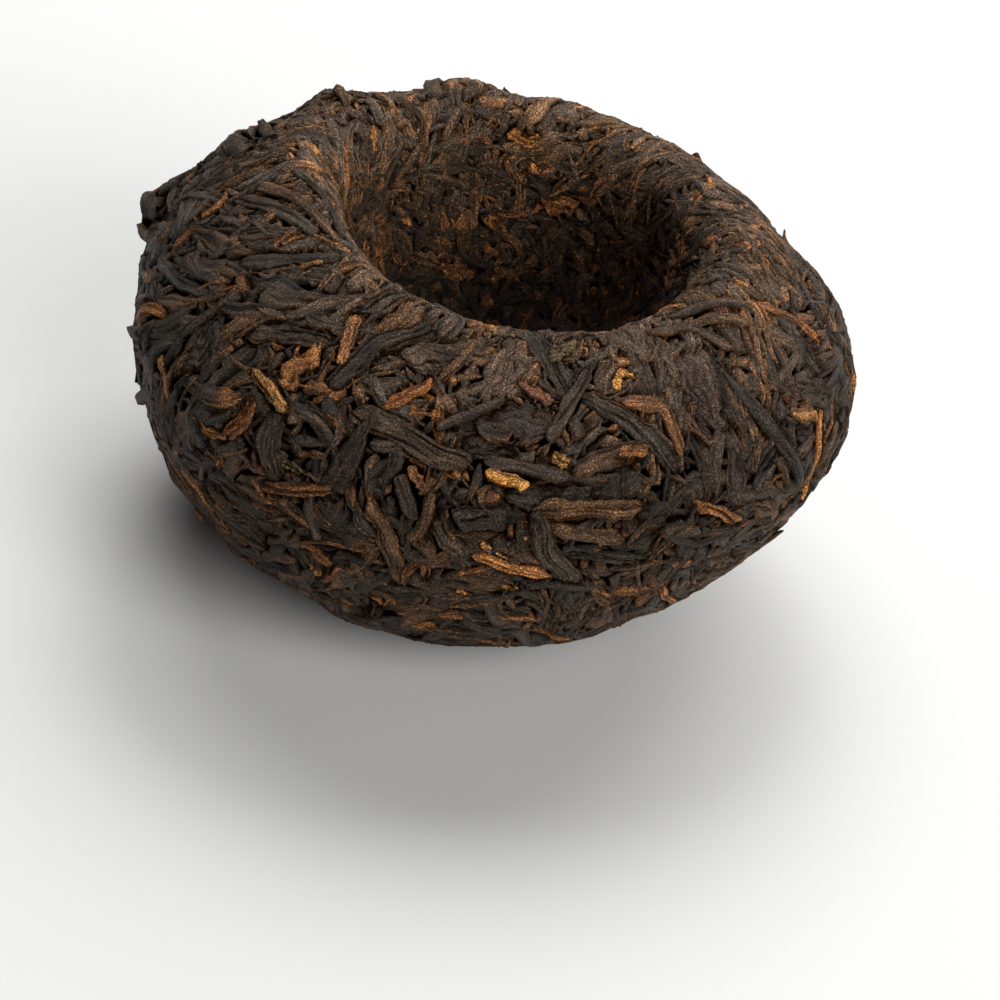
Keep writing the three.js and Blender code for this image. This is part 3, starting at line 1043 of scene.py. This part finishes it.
# Materials
def node(tree, kind, **values):
    """Adds a shader node with some of its sockets or properties set."""
    made = tree.nodes.new(kind)
    for name, value in values.items():
        if hasattr(made, name):
            setattr(made, name, value)
        else:
            made.inputs[name.replace("_", " ").title()].default_value = value
    return made


def ranged(tree, source, lows, highs):
    """Spreads a texture's values from one range to another."""
    made = node(tree, "ShaderNodeMapRange")
    for socket, value in zip(("From Min", "From Max", "To Min", "To Max"), (*lows, *highs)):
        made.inputs[socket].default_value = value
    tree.links.new(source, made.inputs["Value"])
    return made.outputs[0]


def fibre_noise(tree):
    """Noise drawn out into fibres along each leaf."""
    leaf_map = node(tree, "ShaderNodeUVMap", uv_map="Leaf")
    stretch = node(tree, "ShaderNodeMapping", scale=(1, FIBRE_STRETCH, 1))
    fibres = node(tree, "ShaderNodeTexNoise", scale=FIBRE_SCALE, detail=6.0, roughness=0.7)
    tree.links.new(leaf_map.outputs[0], stretch.inputs[0])
    tree.links.new(stretch.outputs[0], fibres.inputs["Vector"])
    return fibres.outputs["Fac"]


def speck_noise(tree):
    """Fine grain of the leaf's skin."""
    place = node(tree, "ShaderNodeTexCoord")
    specks = node(tree, "ShaderNodeTexNoise", scale=SPECK_SCALE, detail=0.6, roughness=0.6)
    tree.links.new(place.outputs["Object"], specks.inputs["Vector"])
    return specks.outputs["Fac"]


def bumped(tree, heights, distance):
    """Bump from a texture's heights."""
    made = node(tree, "ShaderNodeBump", strength=1.0, distance=distance)
    tree.links.new(heights, made.inputs["Height"])
    return made


def leaf_material(name, roughness):
    """Dry leaf: its colour with painted sheen and shade, streaked by fibres, speckled, with a wrinkled dull
    skin.
    """
    material = bpy.data.materials.new(name)
    material.use_nodes = True
    tree = material.node_tree
    tree.nodes.clear()
    link = tree.links.new
    output = node(tree, "ShaderNodeOutputMaterial")
    shader = node(tree, "ShaderNodeBsdfPrincipled")
    link(shader.outputs[0], output.inputs[0])
    colour = node(tree, "ShaderNodeAttribute", attribute_name="Tea")
    fibres, specks = fibre_noise(tree), speck_noise(tree)
    both = node(tree, "ShaderNodeMath", operation="MULTIPLY")
    link(ranged(tree, fibres, FIBRE_RANGE, FIBRE_LIGHT), both.inputs[0])
    link(ranged(tree, specks, SPECK_RANGE, SPECK_LIGHT), both.inputs[1])
    tinted = node(tree, "ShaderNodeVectorMath", operation="SCALE")
    link(colour.outputs["Color"], tinted.inputs[0])
    link(both.outputs[0], tinted.inputs["Scale"])
    link(tinted.outputs[0], shader.inputs["Base Color"])
    dull = ranged(tree, specks, (0.3, 0.7), (roughness - DULL_RANGE, roughness + DULL_RANGE))
    link(dull, shader.inputs["Roughness"])
    link(ranged(tree, colour.outputs["Alpha"], (0.2, 1), (0, SHEEN)), shader.inputs["Specular IOR Level"])
    grainy, wrinkles = bumped(tree, specks, SPECK_BUMP), bumped(tree, fibres, FIBRE_BUMP)
    link(grainy.outputs[0], wrinkles.inputs["Normal"])
    link(wrinkles.outputs[0], shader.inputs["Normal"])
    return material


def core_kind():
    """Inner core, as a closed grid of points under the leaves."""
    rows = np.linspace(0.4, profile.length - 0.4, 110)
    turns = np.linspace(-math.pi, math.pi, 160, endpoint=False)
    along, turn = np.meshgrid(rows, turns, indexing="ij")
    bumps = random.normal(0, 0.12, along.shape)
    kind = Kind("inner_core")
    # The core gets the same painted sheen on the crest and painted shade on the hollow's floor
    colours = rubbed(BLACK, along, 1)
    places = np.stack([along, turn, bumps], axis=-1)
    kind.add(on_cake(along, turn, bumps - CORE_DEPTH), colours, places, profile.length, DIAMETER, (0, 0))
    return kind


# Studio
def make_stage():
    half = 1.5
    data = bpy.data.meshes.new("floor")
    corners = [(-half, -half, 0), (half, -half, 0), (half, half, 0), (-half, half, 0)]
    data.from_pydata(corners, [], [(0, 1, 2, 3)])
    floor = bpy.data.objects.new("floor", data)
    bpy.context.scene.collection.objects.link(floor)
    material = bpy.data.materials.new("pale_floor")
    material.use_nodes = True
    shader = material.node_tree.nodes["Principled BSDF"]
    shader.inputs["Base Color"].default_value = (0.82, 0.82, 0.8, 1)
    shader.inputs["Roughness"].default_value = 0.9
    data.materials.append(material)


def area_light(name, place, aim, size, power):
    data = bpy.data.lights.new(name, "AREA")
    data.shape = "DISK"
    data.size = size
    data.energy = power
    light = bpy.data.objects.new(name, data)
    light.location = place
    light.rotation_euler = (Vector(aim) - Vector(place)).to_track_quat("-Z", "Y").to_euler()
    bpy.context.scene.collection.objects.link(light)


def make_lights():
    scene = bpy.context.scene
    scene.view_settings.view_transform = "Standard"
    world = bpy.data.worlds.new("studio")
    scene.world = world
    world.use_nodes = True
    back = world.node_tree.nodes["Background"]
    back.inputs["Color"].default_value = (1, 1, 1, 1)
    back.inputs["Strength"].default_value = 0.03
    aim = (0, 0, 0.03)
    area_light("key", (0.25, 0.66, 0.74), aim, 0.9, 8)
    area_light("left", (-0.2, 0.64, 1.0), aim, 0.8, 6.2)
    area_light("side", (0.7, -0.62, 0.38), aim, 0.8, 5)
    area_light("front", (0.45, -0.7, 0.62), aim, 0.8, 4.4)


def make_cake():
    """The core and all the leaves: first those of the photograph, then others among and under them."""
    pile = Pile()
    finder = PixelFinder()
    broad, tips = Kind("broad_leaves", 0.47), Kind("golden_tips")
    long, flat, rolled = Kind("long_leaves", 0.5), Kind("flat_leaves", 0.5), Kind("rolled_leaves", 0.5)
    scraps, crumbs, stalks = Kind("broken_leaves"), Kind("leaf_crumbs"), Kind("thin_stalks")
    before = pile.heights.copy()
    lay_noted(pile, finder, broad, broad_leaf, NOTED_LEAVES, stations=20)
    lay_noted(pile, finder, rolled, rolled_leaf, NOTED_STRIPS, stations=20)
    lay_noted(pile, finder, tips, tip_leaf, NOTED_TIPS, stations=14)
    lay_noted(pile, finder, scraps, standing_bit, NOTED_BITS, stations=6)
    pile.set_noted(before)
    scatter(pile, broad, broad_leaf, tries=380, most_support=1.15, stations=14)
    scatter(pile, long, long_leaf, tries=360, most_support=1.25, stations=15)
    scatter(pile, flat, flat_leaf, tries=1300, most_support=1.3, stations=8)
    scatter(pile, rolled, rolled_leaf, tries=700, most_support=1.35, stations=12)
    fill_gaps(pile, scraps, scrap_leaf, gap_level=1.05, least_share=0.02, stations=4)
    scatter(pile, scraps, scrap_leaf, tries=450, most_support=1.5, stations=4)
    wall = profile.crest_at + 3
    scatter(pile, scraps, wall_chip, tries=220, most_support=1.8, stations=5, start=wall)
    scatter(pile, scraps, loose_leaf, tries=60, most_support=1.7, stations=4)
    scatter(pile, tips, tip_leaf, tries=150, most_support=1.45, stations=10)
    scatter(pile, stalks, stalk, tries=300, most_support=1.6, stations=9)
    kinds = broad, long, flat, rolled, scraps, stalks, tips
    for kind in kinds:
        kind.drop_hidden(pile)
    pile.rebuild(kinds)
    fill_gaps(pile, crumbs, crumb, gap_level=1.08, least_share=0.0004, stations=3)
    levels = pile.mean_level(reach=2), pile.mean_level(reach=5)
    for kind in (core_kind(), *kinds, crumbs):
        material = leaf_material(kind.name, kind.roughness)
        piece = kind.mesh(material, pile, levels)
        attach(piece, "root")
        if kind.name == "inner_core":
            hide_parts("tuocha")


make_camera()
make_lights()
make_stage()
make_cake()
